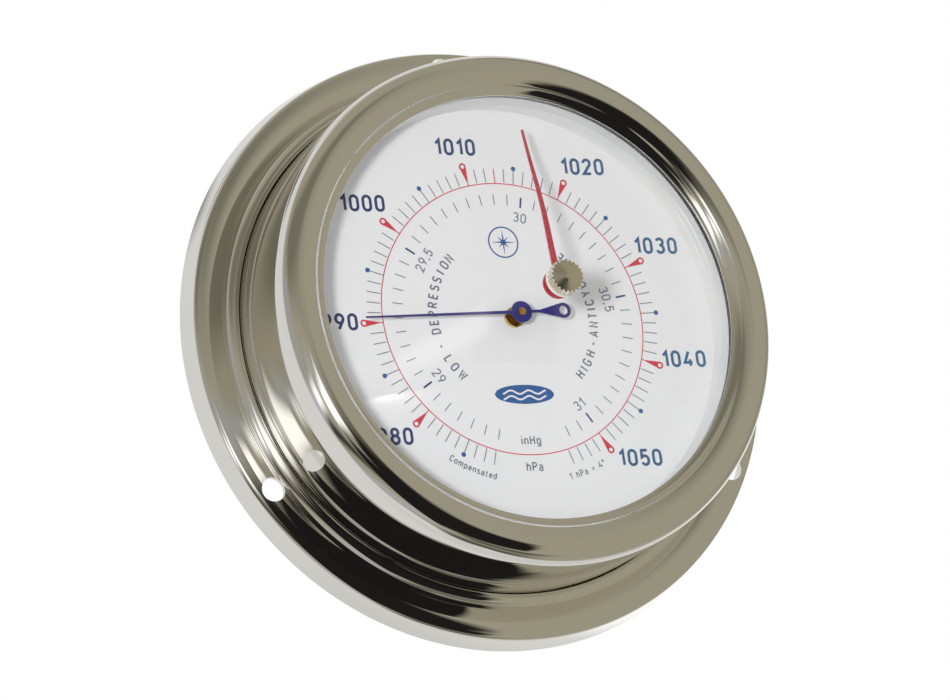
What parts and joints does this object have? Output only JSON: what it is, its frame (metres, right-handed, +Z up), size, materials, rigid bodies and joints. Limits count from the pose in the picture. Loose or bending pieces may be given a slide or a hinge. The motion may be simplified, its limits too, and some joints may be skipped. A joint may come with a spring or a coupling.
{
  "type": "aneroid barometer",
  "caption": "Flanged bulkhead barometer: plated drum case, domed glass, white dial, blue pointer, red set hand, and an aneroid capsule movement inside.",
  "frame": {"origin": "centre of the wall plane, on the dial's axis, at the rear face of the case", "axes": "+Y points into the wall, the dial faces -Y, +X is to the reader's right and +Z is up"},
  "size_m": [0.1288, 0.0472, 0.1288],
  "materials": {
    "polished_nickel": "mirror-polished nickel plate over brass",
    "knob_nickel": "lathe-turned nickel-plated brass",
    "washer_clear": "pale nylon",
    "ring_steel": "zinc-plated",
    "cover_paint": "black crackle paint",
    "screw_steel": "bright turned",
    "dial_paint": "satin white with printed scales",
    "ring_white": "satin white",
    "dome_glass": "clear polished",
    "gasket_rubber": "matt black",
    "movement_brass": "fine brushed",
    "bush_brass": "turned",
    "capsule_alloy": "copper-nickel alloy, satin",
    "spring_steel": "tempered",
    "arbor_steel": "bright turned",
    "pointer_blue": "gloss blue lacquer",
    "marker_red": "gloss red lacquer"
  },
  "bodies": {
    "case": {"case_body": "polished_nickel", "bezel": "polished_nickel", "mounting_ring": "ring_steel", "dial_seat_ring": "ring_steel", "rear_cover": "cover_paint", "rear_cover_screws": "screw_steel", "base_plate_screws": "screw_steel", "bridge_screws": "screw_steel", "strip_screws": "screw_steel", "bracket_screws": "screw_steel", "dial_plate": "dial_paint", "reflector_ring": "ring_white", "domed_glass": "dome_glass", "glass_gasket": "gasket_rubber", "base_plate": "movement_brass", "bridge_plate": "movement_brass", "bridge_pillars": "movement_brass", "strip_spacer": "movement_brass", "capsule_foot": "movement_brass", "capsule_coupling": "movement_brass", "adjuster_bush": "movement_brass", "rocker_brackets": "movement_brass", "hairspring_stud": "movement_brass", "dial_bush": "bush_brass", "capsule_lower": "capsule_alloy", "capsule_upper": "capsule_alloy", "capsule_strip": "spring_steel", "hairspring": "spring_steel"},
    "sector": {"sector_gear": "movement_brass", "sector_arbor": "arbor_steel", "tail_pin": "arbor_steel"},
    "pointer": {"pointer": "pointer_blue", "pointer_boss": "bush_brass", "pointer_arbor": "arbor_steel", "pointer_pinion": "arbor_steel", "hairspring_collet": "movement_brass"},
    "rocker": {"rocker_shaft": "arbor_steel", "lift_arm": "spring_steel", "link_arm": "movement_brass"},
    "link": {"link_rod": "arbor_steel"},
    "capsule_top": {"capsule_post": "movement_brass"},
    "marker": {"marker_knob": "knob_nickel", "marker_washer": "washer_clear", "marker_spindle": "bush_brass", "marker_spring_washer": "spring_steel", "marker_hand": "marker_red"},
    "adjuster": {"adjusting_screw": "arbor_steel"}
  },
  "joints": [
    {"name": "sector_swing", "type": "hinge", "parent": "case", "child": "sector", "pos_m": [0.0078, -0.0097, 0.01351], "axis": [0, 1, 0], "range_deg": [-21.34, 6], "stiffness_Nm_per_rad": 0.02},
    {"name": "pointer_turn", "type": "hinge", "parent": "case", "child": "pointer", "pos_m": [0, -0.0142, 0], "axis": [0, 1, 0], "range_deg": [-72, 256.1], "deforming": ["hairspring"]},
    {"name": "rocker_tilt", "type": "hinge", "parent": "case", "child": "rocker", "pos_m": [0, -0.014, -0.0085], "axis": [1, 0, 0], "range_deg": [-4.5, 16.01]},
    {"name": "capsule_travel", "type": "slide", "parent": "case", "child": "capsule_top", "axis": [0, 1, 0], "range_m": [-0.00028, 0.00098], "deforming": ["capsule_lower", "capsule_upper"]},
    {"name": "link_sway", "type": "hinge", "parent": "sector", "child": "link", "pos_m": [0.0138, -0.00865, 0.01351], "axis": [0, 1, 0], "range_deg": [-6, 21.34]},
    {"name": "marker_turn", "type": "hinge", "parent": "case", "child": "marker", "pos_m": [0, -0.043, 0], "axis": [0, 1, 0], "continuous": true},
    {"name": "adjuster_turn", "type": "hinge", "parent": "case", "child": "adjuster", "pos_m": [-0.017, -0.003, -0.012], "axis": [0, 1, 0], "range_deg": [-360, 360]}
  ],
  "couplings": [
    {"joint": "pointer_turn", "follows": "sector_swing", "ratio": -12},
    {"joint": "rocker_tilt", "follows": "sector_swing", "ratio": -0.75},
    {"joint": "capsule_travel", "follows": "sector_swing", "m_per_rad": -0.002625},
    {"joint": "link_sway", "follows": "sector_swing", "ratio": -1}
  ]
}
